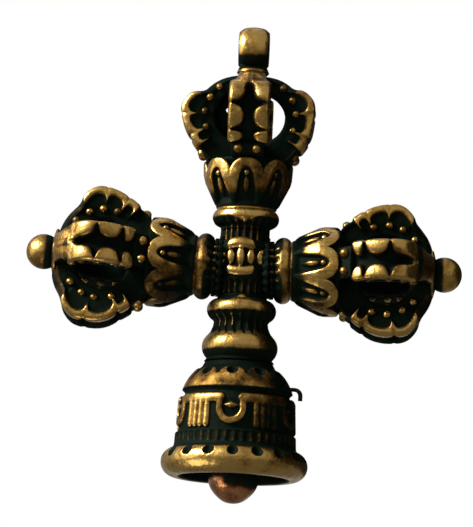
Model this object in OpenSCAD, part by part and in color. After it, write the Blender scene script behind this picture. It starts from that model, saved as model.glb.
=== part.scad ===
// Crossed vajra pendant: three pronged heads and a bell on one hub, hung from a band bail

/* [Hub] */
// Radius of the barrel in the middle of the cross
hub_r = 2.95; // [2.8:0.05:3.2]
// Height of the barrel
hub_barrel_h = 3.9; // [3.4:0.1:4.4]
// Tube radius of the two bands round the barrel
hub_band_r = 0.5; // [0.4:0.05:0.6]
// How far the bands stand out from the barrel
hub_band_stand = 0.35; // [0.2:0.05:0.4]
// Height of each band above or below the middle
hub_band_z = 1.4; // [1.2:0.05:1.6]
// Radius of the upper and lower necks that the arms seat on
neck_r = 2.45; // [2.2:0.05:2.45]
// Radius of the left and right necks
side_neck_r = 3.05; // [2.8:0.05:3.15]
// Distance from the middle to the left and right seats
side_seat = 2.6; // [2.5:0.05:3]
// Distance from the middle to the upper and lower seats
end_seat = 3.2; // [3.1:0.05:3.6]
// Radius of the tenon on each arm
tenon_r = 1.2; // [0.9:0.05:1.3]
// Length of the tenon on each arm
tenon_len = 1.3; // [1:0.05:1.35]
// How far the left and right arms lie below the middle
side_drop = 0.6; // [0.4:0.05:0.7]
// Rise of the left arm towards its ball, in degrees, as soldered
left_tilt = 2.75; // [0:0.25:3]
// Rise of the right arm towards its ball
right_tilt = 1.1; // [0:0.1:3]
// Turn of the top head about its own arm
top_turn = -0.5; // [-10:0.5:10]
// Turn of the left head about its own arm
left_turn = 5.5; // [-10:0.5:10]
// Turn of the right head about its own arm
right_turn = -5; // [-10:0.5:10]

/* [Lotus cup] */
// Length of a cup from its seat on the hub to its mouth
cup_len = 6.9; // [6.4:0.05:7.4]
// Largest radius of the ring at the foot of a cup
cup_ring_r = 3.3; // [3.1:0.05:3.5]
// Tube radius of that ring
cup_ring_tube = 0.9; // [0.7:0.05:0.95]
// Length of plain neck between the seat and the ring
cup_neck_len = 0.4; // [0.3:0.05:0.6]
// Radius where the petals start, just past the ring
cup_foot_r = 3; // [2.8:0.05:3.15]
// Radius at the widest part of the petals
cup_belly_r = 4.4; // [4.2:0.05:4.6]
// Distance from the widest part to the mouth
cup_belly_drop = 1.75; // [1.5:0.05:2]
// Radius at the petal tips
cup_mouth_r = 4.35; // [4:0.05:4.4]
// Number of petals
petal_count = 8; // [6:2:10]
// Radius of the groove between two petals
petal_groove_r = 0.35; // [0.2:0.05:0.45]
// Radius of the notch between two petal tips
petal_notch_r = 0.75; // [0.5:0.05:0.9]

/* [Prongs] */
// Outer radius of a prong's arch
arch_out_r = 4.7; // [4.4:0.05:4.9]
// Inner radius of a prong's arch
arch_in_r = 2.5; // [2.4:0.05:2.9]
// Distance of the arch's centre from the axis of the head
arch_off = 0.9; // [0.7:0.05:1]
// Depth of the flats at the foot and at the tip of the arch
arch_flat = 0.2; // [0.15:0.01:0.3]
// Width of the arch
arch_w = 2.6; // [2.2:0.05:2.65]
// Width of the groove between the two crests
crest_gap = 0.85; // [0.7:0.05:1.1]
// Width of each crest
crest_w = 1.7; // [1.5:0.05:1.85]
// Height of the rim that joins the lobes, above and below the arch's outer line
rim_rise = 0.95; // [0.7:0.05:1.05]
// Radius of the lobe nearest the tip
upper_lobe_r = 1.3; // [1.2:0.05:1.5]
// Radius of the middle lobe
middle_lobe_r = 1.1; // [1:0.05:1.3]
// Radius of the lower lobe
lower_lobe_r = 0.9; // [0.8:0.05:1.1]
// Radius of the small lobe at the foot
foot_lobe_r = 0.8; // [0.6:0.05:0.85]
// Radius of the peg under each foot
peg_r = 0.3; // [0.2:0.05:0.35]
// Length of that peg
peg_len = 1; // [0.6:0.05:1.4]

/* [Core] */
// Half the width of the square blocks that the prongs butt against
block_half = 1.35; // [1.33:0.01:1.4]
// Radius of the rod between the blocks
core_r = 0.8; // [0.6:0.05:0.9]
// Length of the rod's tail in the cup
core_tail = 3; // [2:0.1:4]

/* [Tips] */
// Radius of the cap that covers the prong tips
cap_r = 2.1; // [1.9:0.05:2.25]
// Radius at the top of the cap
cap_top_r = 1.5; // [1.4:0.05:1.6]
// Height of the cap
cap_h = 0.5; // [0.4:0.05:0.6]
// Radius of the ball on a side arm
ball_r = 1.75; // [1.65:0.05:1.9]
// Height of the ball's centre above the prong tips
ball_rise = 1.35; // [1.25:0.05:1.6]
// Radius of the pin under the cap
pin_r = 0.5; // [0.35:0.05:0.6]
// Length of that pin
pin_len = 1.2; // [0.8:0.05:1.5]

/* [Bail] */
// Radius of the cord bore
bail_bore_r = 1.45; // [1.2:0.05:1.6]
// Thickness of the band
bail_wall = 0.75; // [0.6:0.05:0.9]
// Width of the band
bail_w = 3; // [2.4:0.1:3.6]
// Rounding of the band's outer edges
bail_round = 0.5; // [0.2:0.05:0.55]
// Height of the bore above the prong tips
bail_rise = 2.5; // [2.45:0.05:2.9]
// Width of the foot under the band
bail_foot_w = 2.7; // [2.2:0.1:2.8]
// Depth of the foot, front to back
bail_foot_d = 2.4; // [2:0.1:2.8]

/* [Bell handle] */
// Largest radius of the ring at the top of the handle
handle_ring_r = 3.43; // [3.2:0.01:3.6]
// Tube radius of that ring
handle_ring_tube = 1.1; // [0.9:0.05:1.2]
// Radius of the waist between the ring and the bulb
handle_waist_r = 2.75; // [2.5:0.05:2.9]
// Largest radius of the bulb
bulb_r = 3.77; // [3.6:0.01:4]
// Tube radius of the bulb
bulb_tube = 1.5; // [1.3:0.05:1.6]
// Distance from the ring's middle to the bulb's middle
bulb_drop = 3.7; // [3.5:0.05:4]
// Radius of the seat on the bell
handle_seat_r = 3.5; // [3.3:0.05:3.6]
// Distance from the bulb's middle to that seat
handle_seat_drop = 1.45; // [1.3:0.05:1.6]
// Radius of the tang through the top of the bell
tang_r = 1.3; // [1:0.05:1.4]
// Radius of the rivet head inside the bell
rivet_r = 1.8; // [1.5:0.05:2]
// Thickness of the rivet head
rivet_h = 0.45; // [0.3:0.05:0.5]

/* [Bell] */
// Radius of the collar under the handle
crown_collar_r = 3.55; // [3.4:0.05:3.7]
// Height of the collar
crown_collar_h = 0.5; // [0.3:0.05:0.6]
// Radius of the shoulder
shoulder_r = 5.48; // [5.4:0.02:5.7]
// Height of the dome
dome_h = 3; // [2.8:0.05:3.2]
// Radius of the dome's round
dome_r = 5.1; // [4.8:0.05:5.4]
// Thickness of the dome
dome_wall = 0.8; // [0.7:0.05:0.9]
// Number of hollows round the dome
dome_hollow_count = 10; // [6:1:12]
// Radius of each hollow in the dome
dome_hollow_r = 0.55; // [0.3:0.05:0.6]
// Outer radius of the spigot that centres the skirt
spigot_r = 4.67; // [4.6:0.01:4.75]
// Thickness of the spigot
spigot_wall = 0.5; // [0.4:0.05:0.6]
// Length of the spigot below the shoulder
spigot_len = 0.7; // [0.5:0.05:0.9]
// Outer radius at the top of the skirt
skirt_top_r = 5.35; // [5.3:0.01:5.4]
// Outer radius at the hip, just below the shoulder
skirt_hip_r = 5.78; // [5.7:0.01:5.85]
// Distance from the shoulder to the hip
skirt_hip_drop = 1; // [0.8:0.05:1.2]
// Outer radius where the skirt meets the flare of the lip
skirt_low_r = 6.02; // [5.9:0.01:6.15]
// Distance from the shoulder to the flare
skirt_low_drop = 5.3; // [5:0.05:5.5]
// Thickness of the skirt
skirt_wall = 0.7; // [0.6:0.05:0.75]
// Tube radius of the bead band above the flare
bead_band_r = 0.3; // [0.2:0.05:0.4]
// How far the bead band stands out from the skirt
bead_band_stand = 0.15; // [0.1:0.01:0.18]
// Largest radius of the lip
lip_r = 7.25; // [7.15:0.01:7.4]
// Tube radius of the lip
lip_tube = 1.43; // [1.35:0.01:1.5]
// Radius of the bell's mouth
mouth_r = 5.2; // [5.1:0.05:5.3]
// Distance from the shoulder to the bottom of the bell
bell_drop = 8.55; // [8.4:0.05:8.8]
// Number of dimples round the lip
dimple_count = 18; // [12:1:22]
// Radius of each dimple
dimple_r = 0.62; // [0.4:0.02:0.7]
// How far the middle of each dimple's round lies outside the lip
dimple_out = 0.15; // [0:0.05:0.2]

/* [Clapper] */
// Radius of the cross wire
wire_r = 0.22; // [0.18:0.01:0.24]
// Distance of the cross wire below the top of the dome
wire_drop = 2.45; // [2.4:0.05:2.6]
// Straight length of wire outside the shoulder
wire_out = 0.35; // [0.2:0.05:0.5]
// Radius of the bend at the free end of the wire
wire_bend_r = 0.6; // [0.5:0.05:0.8]
// Length of the free end below the bend
wire_end = 0.5; // [0.3:0.05:0.8]
// Radius of the ring and of the eye to the middle of their wire
link_r = 0.8; // [0.76:0.01:0.84]
// Radius of the wire in the ring and in the eye
link_tube = 0.22; // [0.18:0.01:0.24]
// Radius of the stem
stem_r = 0.34; // [0.28:0.02:0.36]
// Radius of the clapper ball
clapper_r = 2.48; // [2.4:0.02:2.5]
// Distance of the ball's centre above the bottom of the bell
clapper_lift = 0.05; // [0:0.05:0.3]
// Depth of the stem's hole in the ball
stem_hole = 1.6; // [1.2:0.1:2]

/* [Fits] */
// Solder gap round tenons, tangs, pins and pegs
solder_gap = 0.03; // [0.02:0.01:0.05]
// Room beyond the end of a tenon, pin or peg
end_room = 0.1; // [0.05:0.05:0.15]
// Room between the cross wire, the ring and the eye
link_gap = 0.08; // [0.06:0.01:0.1]

/* [Hidden] */
$fn = 72;
brass = "#a8843c";
dark_brass = "#5c4724";
copper = "#b0703c";
front = -90;
back = 90;
HEADS = [
    ["top", 0, end_seat, [["front", front], ["right", 0], ["back", back], ["left", 180]], top_turn, 0],
    ["left", left_tilt - 90, side_seat, [["front", front], ["upper", 0], ["back", back], ["lower", 180]],
        left_turn, side_drop],
    ["right", 90 - right_tilt, side_seat, [["front", front], ["lower", 0], ["back", back], ["upper", 180]],
        right_turn, side_drop]
];
SIDE_HEADS = [HEADS[1], HEADS[2]];

// Heights along a head, from its seat on the hub
cup_ring_z = cup_neck_len + cup_ring_tube;
petal_foot_z = cup_ring_z + cup_ring_tube;
belly_z = cup_len - cup_belly_drop;
arch_z = cup_len + arch_out_r - arch_flat;
tip_z = arch_z + arch_out_r - arch_flat;

// Length of arch face that butts against a block, and the middle of the flat foot
block_h = arch_z - sqrt(pow(arch_in_r, 2) - pow(block_half - arch_off, 2)) - cup_len;
foot_end = arch_off + sqrt(pow(arch_out_r, 2) - pow(arch_out_r - arch_flat, 2));
peg_at = (block_half + foot_end) / 2;

// Where the lobes sit round the arch, and their radii
lobe_turn = [18, -9.5, -31, -47.5];
lobe_r = [upper_lobe_r, middle_lobe_r, lower_lobe_r, foot_lobe_r];

// Height of the hub below the cord bore
hub_drop = end_seat + tip_z + bail_rise;

// Depths below the hub's lower seat
handle_ring_d = cup_neck_len + handle_ring_tube;
bulb_d = handle_ring_d + bulb_drop;
crown_d = bulb_d + handle_seat_drop;
shoulder_d = crown_d + dome_h;
wire_d = crown_d + wire_drop;
bell_bottom_d = shoulder_d + bell_drop;
clapper_d = bell_bottom_d - clapper_lift;

// Chain of the clapper: each link hangs in the one above
link_in_r = link_r - link_tube;
ring_d = wire_d + link_in_r - wire_r - link_gap;
rock_d = ring_d + link_r;
eye_d = rock_d + link_in_r - link_tube - link_gap;

// Slope of the dome at the shoulder, the middle of its round, and where the cross wire leaves it
shoulder_turn = 17.5;
dome_mid = [shoulder_r - dome_r * cos(shoulder_turn), dome_h + dome_r * sin(shoulder_turn)];
wire_exit_r = dome_mid[0] + sqrt(pow(dome_r, 2) - pow(dome_mid[1] - wire_drop, 2));

// Middles of the lip's and the bulb's tubes, and where the flares above them run in
flare_turn = 50;
flare_reach = 0.9;
lip_mid = [lip_r - lip_tube, bell_drop - lip_tube];
lip_flare = flare_end(lip_mid, lip_tube);
bulb_mid = [bulb_r - bulb_tube, bulb_d];
bulb_flare = flare_end(bulb_mid, bulb_tube);

// Turn of the hollows and of the dimples up their rounds, and of the first hollow round the bell
hollow_turn = 43;
hollow_off = 6;
dimple_turn = 55;

// Extra length of cuts that run out into the open, and the width of a half plane
over = 1;
reach = hub_drop;

// Point just inside a round where a flare above it runs in
function flare_end(mid, r) = mid + flare_reach * r * direction(-flare_turn);

// Unit step at an angle
function direction(turn) = [cos(turn), sin(turn)];

// Points of an arc from one angle to another
function arc(mid, r, from, to, steps = 6) =
    [for (i = [0:steps]) mid + r * direction(from + (to - from) * i / steps)];

module at_hub() {
    translate([0, 0, -hub_drop]) children();
}

// From the middle of the hub to the seat of a head
module on_seat(h) {
    translate([0, 0, -h[5]]) rotate([0, h[1], 0]) translate([0, 0, h[2]]) children();
}

module on_head(h) {
    at_hub() on_seat(h) rotate(h[4]) children();
}

// Turned over, so that heights read as depths below the hub's lower seat
module below_hub() {
    at_hub() rotate([180, 0, 0]) translate([0, 0, end_seat]) children();
}

// Outline of a solid disc between two heights
module disc(r, low, high) {
    translate([0, low]) square([r, high - low]);
}

// Everything outside the axis between two heights
module half_plane(low, high) {
    disc(reach, low, high);
}

module socket(r, depth) {
    translate([0, 0, -depth - end_room]) cylinder(r = r + solder_gap, h = depth + end_room + over);
}

module hub() {
    color(dark_brass) difference() {
        union() {
            cylinder(r = neck_r, h = 2 * end_seat, center = true);
            difference() {
                intersection() {
                    union() {
                        cylinder(r = hub_r, h = hub_barrel_h, center = true);
                        translate([0, 0, -side_drop]) rotate([0, 90, 0])
                            cylinder(r = side_neck_r, h = 3 * side_seat, center = true);
                        for (side = [-1, 1])
                            rotate_extrude() translate([hub_r + hub_band_stand - hub_band_r, side * hub_band_z])
                                circle(hub_band_r);
                    }
                    cube([4 * side_seat, 4 * hub_r, 2 * end_seat], center = true);
                }
                for (h = SIDE_HEADS) on_seat(h) cylinder(r = 2 * hub_r, h = 2 * side_seat);
            }
        }
        for (h = HEADS) on_seat(h) socket(tenon_r, tenon_len);
        rotate([180, 0, 0]) translate([0, 0, end_seat]) socket(tenon_r, tenon_len);
    }
}

module tenon() {
    translate([0, 0, -tenon_len]) cylinder(r = tenon_r, h = tenon_len + cup_neck_len);
}

module lotus_cup() {
    color(brass) difference() {
        union() {
            tenon();
            rotate_extrude() {
                disc(neck_r, 0, petal_foot_z);
                translate([cup_ring_r - cup_ring_tube, cup_ring_z]) circle(cup_ring_tube);
                polygon([
                    [0, cup_ring_z], [cup_foot_r, cup_ring_z], [cup_foot_r, petal_foot_z],
                    [cup_belly_r, belly_z], [cup_belly_r, belly_z + cup_belly_drop / 3],
                    [cup_mouth_r, cup_len], [0, cup_len]
                ]);
            }
        }
        petal_grooves();
        translate([0, 0, cup_len]) socket(core_r, core_tail);
        for (turn = [0:90:270])
            rotate(turn) translate([peg_at, 0, cup_len]) socket(peg_r, peg_len);
    }
}

module petal_grooves() {
    slope = atan2(cup_belly_r - cup_foot_r, belly_z - petal_foot_z);
    for (i = [0:petal_count - 1]) rotate(360 / petal_count * (i + 0.5)) {
        translate([cup_foot_r, 0, petal_foot_z]) rotate([0, slope, 0])
            cylinder(r = petal_groove_r, h = cup_len);
        translate([cup_belly_r, 0, cup_len]) rotate([0, 90, 0])
            cylinder(r = petal_notch_r, h = 2 * (cup_belly_r - cup_mouth_r) + over, center = true);
    }
}

module prong(turn) {
    color(brass) rotate(turn) {
        rotate([90, 0, 0]) {
            linear_extrude(arch_w, center = true) arch_outline();
            for (side = [-1, 1])
                translate([0, 0, side * (crest_gap + crest_w) / 2])
                    linear_extrude(crest_w, center = true) crest_outline();
        }
        translate([peg_at, 0, cup_len - peg_len]) cylinder(r = peg_r, h = peg_len + block_h / 2);
    }
}

module arch_outline() {
    intersection() {
        translate([arch_off, arch_z]) difference() {
            circle(arch_out_r);
            circle(arch_in_r);
        }
        translate([block_half, 0]) half_plane(cup_len, tip_z);
    }
}

module crest_outline() {
    translate([arch_off, arch_z]) {
        for (i = [0:len(lobe_r) - 1])
            rotate(lobe_turn[i]) translate([arch_out_r, 0]) circle(lobe_r[i]);
        intersection() {
            difference() {
                circle(arch_out_r + rim_rise);
                circle(arch_out_r - rim_rise);
            }
            polygon([[0, 0], reach * direction(lobe_turn[3]), reach * direction(lobe_turn[0])]);
        }
    }
}

module core() {
    color(dark_brass) difference() {
        union() {
            translate([0, 0, cup_len - core_tail]) cylinder(r = core_r, h = tip_z - cup_len + core_tail);
            for (z = [cup_len, tip_z - block_h])
                translate([-block_half, -block_half, z]) cube([2 * block_half, 2 * block_half, block_h]);
        }
        translate([0, 0, tip_z]) socket(pin_r, pin_len);
    }
}

module cap_outline() {
    polygon([[0, tip_z], [cap_r, tip_z], [cap_top_r, tip_z + cap_h], [0, tip_z + cap_h]]);
}

module cap_pin() {
    translate([0, 0, tip_z - pin_len]) cylinder(r = pin_r, h = pin_len + cap_h / 2);
}

module tip_ball() {
    color(brass) union() {
        rotate_extrude() {
            cap_outline();
            intersection() {
                translate([0, tip_z + ball_rise]) circle(ball_r);
                half_plane(tip_z + cap_h / 2, tip_z + 2 * ball_rise + ball_r);
            }
        }
        cap_pin();
    }
}

module bail() {
    bail_r = bail_bore_r + bail_wall;
    edge = bail_w / 2 - bail_round;
    color(brass) translate([0, 0, -bail_rise - tip_z]) {
        rotate_extrude() cap_outline();
        cap_pin();
        translate([0, 0, tip_z + bail_rise]) rotate([0, 90, 0]) rotate_extrude()
            polygon(concat(
                [[bail_bore_r, bail_w / 2], [bail_bore_r, -bail_w / 2]],
                arc([bail_r - bail_round, -edge], bail_round, -90, 0),
                arc([bail_r - bail_round, edge], bail_round, 0, 90)
            ));
        difference() {
            translate([-bail_foot_w / 2, -bail_foot_d / 2, tip_z + cap_h / 2])
                cube([bail_foot_w, bail_foot_d, bail_rise - cap_h / 2]);
            translate([0, 0, tip_z + bail_rise]) rotate([0, 90, 0])
                cylinder(r = bail_bore_r + bail_wall / 2, h = 2 * bail_w, center = true);
        }
    }
}

module bell_handle() {
    color(brass) union() {
        tenon();
        rotate_extrude() {
            disc(neck_r, 0, handle_ring_d);
            translate([handle_ring_r - handle_ring_tube, handle_ring_d]) circle(handle_ring_tube);
            polygon([
                [0, handle_ring_d], [handle_waist_r, handle_ring_d],
                [handle_waist_r, handle_ring_d + handle_ring_tube], bulb_flare, bulb_mid, [0, bulb_d]
            ]);
            intersection() {
                translate(bulb_mid) circle(bulb_tube);
                half_plane(0, crown_d);
            }
            disc(handle_seat_r, bulb_d, crown_d);
        }
        translate([0, 0, bulb_d]) cylinder(r = tang_r, h = crown_d - bulb_d + dome_wall + rivet_h);
        translate([0, 0, crown_d + dome_wall]) cylinder(r = rivet_r, h = rivet_h);
    }
}

module bell_crown() {
    color(brass) translate([0, 0, crown_d]) difference() {
        rotate_extrude() difference() {
            union() {
                disc(crown_collar_r, 0, crown_collar_h);
                intersection() {
                    translate(dome_mid) circle(dome_r);
                    half_plane(0, dome_h);
                }
                disc(spigot_r, dome_h - dome_wall, dome_h + spigot_len);
            }
            intersection() {
                translate(dome_mid) circle(dome_r - dome_wall);
                disc(spigot_r - spigot_wall, dome_wall, dome_h);
            }
            disc(spigot_r - spigot_wall, dome_h - dome_wall / 2, dome_h + spigot_len + over);
        }
        translate([0, 0, -over]) cylinder(r = tang_r + solder_gap, h = dome_wall + 2 * over);
        translate([0, 0, wire_drop]) rotate([0, 90, 0])
            cylinder(r = wire_r + solder_gap, h = 4 * shoulder_r, center = true);
        for (i = [0:dome_hollow_count - 1]) rotate(back + hollow_off + 360 / dome_hollow_count * i)
            rotate([90, 0, 0]) translate(dome_mid + dome_r * direction(-hollow_turn)) sphere(dome_hollow_r);
    }
}

module bell_skirt() {
    color(brass) translate([0, 0, shoulder_d]) difference() {
        rotate_extrude() {
            polygon([
                [spigot_r + solder_gap, 0], [skirt_top_r, 0], [skirt_hip_r, skirt_hip_drop],
                [skirt_low_r, skirt_low_drop], lip_flare, lip_mid,
                [skirt_low_r - skirt_wall, lip_mid[1] - lip_tube / 2],
                [skirt_low_r - skirt_wall, skirt_low_drop],
                [skirt_hip_r - skirt_wall, skirt_hip_drop + spigot_len],
                [spigot_r + solder_gap, spigot_len + end_room]
            ]);
            intersection() {
                translate(lip_mid) circle(lip_tube);
                translate([mouth_r, 0]) half_plane(0, bell_drop);
            }
            translate([skirt_low_r + bead_band_stand - bead_band_r, skirt_low_drop - bead_band_r])
                circle(bead_band_r);
        }
        for (i = [0:dimple_count - 1]) rotate(front + 360 / dimple_count * i)
            rotate([90, 0, 0]) translate(lip_mid + (lip_tube + dimple_out) * direction(-dimple_turn))
                sphere(dimple_r);
    }
}

module clapper_wire() {
    inner_end = wire_exit_r - dome_wall / 2;
    bend_at = wire_exit_r + wire_out;
    color(dark_brass) translate([0, 0, wire_d]) {
        translate([-inner_end, 0, 0]) rotate([0, 90, 0]) cylinder(r = wire_r, h = inner_end + bend_at);
        translate([bend_at, 0, wire_bend_r]) rotate([-90, 0, 0])
            rotate_extrude(angle = 90) translate([wire_bend_r, 0]) circle(wire_r);
        translate([bend_at + wire_bend_r, 0, wire_bend_r]) cylinder(r = wire_r, h = wire_end);
    }
}

module clapper_ring() {
    color(dark_brass) translate([0, 0, ring_d]) rotate([0, 90, 0])
        rotate_extrude() translate([link_r, 0]) circle(link_tube);
}

module clapper_stem() {
    stem_top = eye_d + link_r;
    color(dark_brass) {
        translate([0, 0, eye_d]) rotate([90, 0, 0]) rotate_extrude() translate([link_r, 0]) circle(link_tube);
        translate([0, 0, stem_top]) cylinder(r = stem_r, h = clapper_d - clapper_r + stem_hole - stem_top);
    }
}

module clapper_ball() {
    color(copper) translate([0, 0, clapper_d]) difference() {
        sphere(clapper_r);
        translate([0, 0, -clapper_r - over])
            cylinder(r = stem_r + solder_gap, h = over + stem_hole + end_room);
    }
}

at_hub() hub();
for (h = HEADS) {
    on_head(h) lotus_cup();
    on_head(h) core();
    for (p = h[3])
        on_head(h) prong(p[1]);
}
on_head(HEADS[1]) tip_ball();  // left_tip_ball
on_head(HEADS[2]) tip_ball();  // right_tip_ball
bail();
below_hub() bell_handle();
below_hub() bell_crown();
below_hub() bell_skirt();
below_hub() clapper_wire();
below_hub() clapper_ring();
below_hub() clapper_stem();
below_hub() clapper_ball();
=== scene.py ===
import bpy
import numpy as np
from mathutils import Matrix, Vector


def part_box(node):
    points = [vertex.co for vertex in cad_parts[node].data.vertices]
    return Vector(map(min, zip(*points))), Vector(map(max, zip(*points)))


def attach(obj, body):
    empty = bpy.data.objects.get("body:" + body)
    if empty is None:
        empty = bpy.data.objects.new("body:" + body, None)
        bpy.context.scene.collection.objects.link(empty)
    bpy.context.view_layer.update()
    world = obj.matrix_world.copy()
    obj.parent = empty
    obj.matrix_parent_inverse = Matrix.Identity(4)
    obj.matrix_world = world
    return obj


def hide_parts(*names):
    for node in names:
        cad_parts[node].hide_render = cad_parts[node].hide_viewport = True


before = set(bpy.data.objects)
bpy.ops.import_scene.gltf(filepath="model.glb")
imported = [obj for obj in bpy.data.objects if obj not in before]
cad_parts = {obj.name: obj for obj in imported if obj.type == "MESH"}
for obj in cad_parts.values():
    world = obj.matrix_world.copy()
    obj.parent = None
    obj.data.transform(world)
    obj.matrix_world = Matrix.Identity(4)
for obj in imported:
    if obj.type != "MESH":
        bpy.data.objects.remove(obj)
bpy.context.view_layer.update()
mm = 0.001  # sizes below are millimetres, meshes are metres
hubMiddle = np.array([0, 0, sum(corner[2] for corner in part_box("hub")) / 2 / mm])
print("frame loaded,", len(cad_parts), "nodes")


def addObject(name, data):  # an object at the origin, in the scene's own collection
    thing = bpy.data.objects.new(name, data)
    bpy.context.scene.collection.objects.link(thing)
    return thing


# camera, on the photo's line of sight
sight = {"distance": 500, "azimuth": 1.65, "elevation": -8.4, "roll": 2.79, "aim": (-0.72, 0, 0.02),
         "pxPerMm": 10.11, "pxHigh": 527, "sensor": 24}


def addCamera(s):
    # axes from azimuth and elevation, then turned by the roll about the line of sight
    azimuth, elevation, roll = np.radians([s["azimuth"], s["elevation"], s["roll"]])
    level = np.cos(elevation)
    back = np.array([np.sin(azimuth) * level, -np.cos(azimuth) * level, np.sin(elevation)])
    right = np.array([np.cos(azimuth), np.sin(azimuth), 0])
    up = np.cross(back, right)
    axes = np.stack([np.cos(roll) * right + np.sin(roll) * up, np.cos(roll) * up - np.sin(roll) * right, back], 1)
    spot = (hubMiddle + np.array(s["aim"]) + back * s["distance"]) * mm
    data = bpy.data.cameras.new("camera")
    data.sensor_fit = "VERTICAL"
    data.sensor_height = s["sensor"]
    data.lens = s["pxPerMm"] * s["distance"] / s["pxHigh"] * s["sensor"]
    data.clip_start = 0.01
    camera = addObject("camera", data)
    camera.matrix_world = Matrix.Translation(spot) @ Matrix(axes.tolist()).to_4x4()
    bpy.context.scene.camera = camera


addCamera(sight)
print("camera set")


# shape helpers
def easeStep(lo, hi, x):  # 0 below lo, 1 above hi, eased between them
    t = np.clip((x - lo) / (hi - lo), 0, 1)
    return t * t * (3 - 2 * t)


def mound(d, r):  # round mound, 1 in its middle and 0 from distance r on
    return np.sqrt(np.clip(1 - (d / r) ** 2, 0, None))


def inRepeat(turn, middle, count):  # place in one of count repeats round an axis, from -0.5 to 0.5
    return ((turn - middle) * count / (2 * np.pi) + 0.5) % 1 - 0.5


def offMiddle(turn, middle):  # angle from the front middle, or from the back if that is nearer
    return np.abs((turn - middle + np.pi / 2) % np.pi - np.pi / 2)


def fluted(turn, count):  # wave round an axis, 1 in a flute and 0 on a ridge
    return 0.5 + 0.5 * np.cos(turn * count)


def arcPoints(mid, r, fromDeg, toDeg, count=12):  # points at even angles on a circle's arc
    turn = np.radians(np.linspace(fromDeg, toDeg, count))
    return np.stack([mid[0] + r * np.cos(turn), mid[1] + r * np.sin(turn)], 1)


def evenly(outline, count):  # count points at even steps along a broken line
    outline = np.concatenate([np.atleast_2d(part) for part in outline])
    along = np.concatenate([[0], np.cumsum(np.hypot(*np.diff(outline, axis=0).T))])
    steps = np.linspace(0, along[-1], count)
    return np.stack([np.interp(steps, along, outline[:, k]) for k in (0, 1)], 1)


def cutCorners(loops, times):  # corner cutting round closed outlines, one outline in each row
    for _ in range(times):
        ahead = np.roll(loops, -1, axis=1)
        pairs = np.stack([0.75 * loops + 0.25 * ahead, 0.25 * loops + 0.75 * ahead], 2)
        loops = pairs.reshape(loops.shape[0], -1, loops.shape[2])
    return loops


def closeSkin(points, wearAndShade, ring=False):
    # quads over a grid whose columns run round; the end rows close on their middles, or on each other in a ring
    rows, cols = wearAndShade.shape
    ids = np.arange(rows * cols).reshape(rows, cols)
    verts, wornAndShaded, fans = points.reshape(-1, 3), wearAndShade.reshape(-1), np.zeros((0, 3), int)
    if ring:
        ids = np.vstack([ids, ids[:1]])
    side = np.roll(ids, -1, axis=1)
    quads = np.stack([ids[:-1], side[:-1], side[1:], ids[1:]], -1).reshape(-1, 4)
    if not ring:
        low, high = np.full(cols, rows * cols), np.full(cols, rows * cols + 1)
        fans = np.concatenate([np.stack([side[0], ids[0], low], 1), np.stack([ids[-1], side[-1], high], 1)])
        verts = np.concatenate([verts, points[[0, -1]].mean(1)])
        wornAndShaded = np.concatenate([wornAndShaded, wearAndShade[[0, -1]].mean(1)])
    thirds = np.concatenate([quads[:, [0, 1, 2]], quads[:, [0, 2, 3]], fans])
    a, b, c = (verts[thirds[:, k]] for k in range(3))
    if np.sum(a * np.cross(b, c)) < 0:  # a negative volume means that the faces point inwards
        quads, fans = quads[:, ::-1], fans[:, ::-1]
    return verts, wornAndShaded, quads, fans


def turnSkin(outline, grid, carve, ring=False):
    # outline (radius, height) swept round the axis; carve gives a rise along the outline's normal, and the wear with
    # any painted shade
    rows, cols = grid
    line = evenly(outline, rows)
    if ring:
        line = line[:-1]
        slope = np.roll(line, -1, 0) - np.roll(line, 1, 0)
    else:
        slope = np.gradient(line, axis=0)
    slope = slope / np.maximum(np.hypot(*slope.T), 1e-9)[:, None]
    turn = np.linspace(0, 2 * np.pi, cols, endpoint=False)[None, :]
    r, z = line[:, :1], line[:, 1:]
    rise, wearAndShade = np.broadcast_arrays(*carve(r, z, turn))
    r = np.maximum(r + rise * slope[:, 1:], 0.01)
    z = z - rise * slope[:, :1]
    points = np.stack([r * np.cos(turn), r * np.sin(turn), z + 0 * turn], -1)
    keep = slice(None) if ring else slice(1, -1)
    return closeSkin(points[keep], wearAndShade[keep], ring)


def beadSkin(mid, r, wearAndShade, grid):  # small low sphere, for grains that are repeated
    rows, cols = grid
    tilts, turns = np.linspace(0, np.pi, rows + 2)[1:-1], np.linspace(0, 2 * np.pi, cols, endpoint=False)
    tilt, turn = np.meshgrid(tilts, turns, indexing="ij")
    ball = np.stack([np.sin(tilt) * np.cos(turn), np.sin(tilt) * np.sin(turn), np.cos(tilt)], -1)
    return closeSkin(np.array(mid) + r * ball, np.full(tilt.shape, wearAndShade))


def turnAbout(points, degrees):  # about an arm's own axis
    c, s = np.cos(np.radians(degrees)), np.sin(np.radians(degrees))
    return points @ np.array([[c, s, 0], [-s, c, 0], [0, 0, 1]])


def leaned(degrees):  # axes of an arm leaned from upright towards the right
    c, s = np.cos(np.radians(degrees)), np.sin(np.radians(degrees))
    return np.array([[c, 0, s], [0, 1, 0], [-s, 0, c]])


# arms: axes with z out from the hub, the seat's distance from the hub's middle,
# the turn about its axis in degrees and the drop that it was soldered at
arms = {
    "top": {"basis": leaned(0), "seat": 3.2, "turn": -0.5, "drop": 0},
    "left": {"basis": leaned(-87.25), "seat": 2.6, "turn": 5.5, "drop": 0.6},
    "right": {"basis": leaned(88.9), "seat": 2.6, "turn": -5, "drop": 0.6},
    "bell": {"basis": np.diag([1, -1, -1]), "seat": 3.2, "turn": 0, "drop": 0},
}
frontTurn = -np.pi / 2  # towards the viewer, about the axis of a pronged arm
bellFront = np.pi / 2  # and about the bell's


def placeSkins(skins, arm):  # from an arm's own axes, with z along the arm, to the frame's
    s = arms[arm]
    seat, shift = np.array([0, 0, s["seat"]]), hubMiddle - [0, 0, s["drop"]]
    return [((turnAbout(verts, s["turn"]) + seat) @ s["basis"].T + shift, *rest) for verts, *rest in skins]


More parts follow.
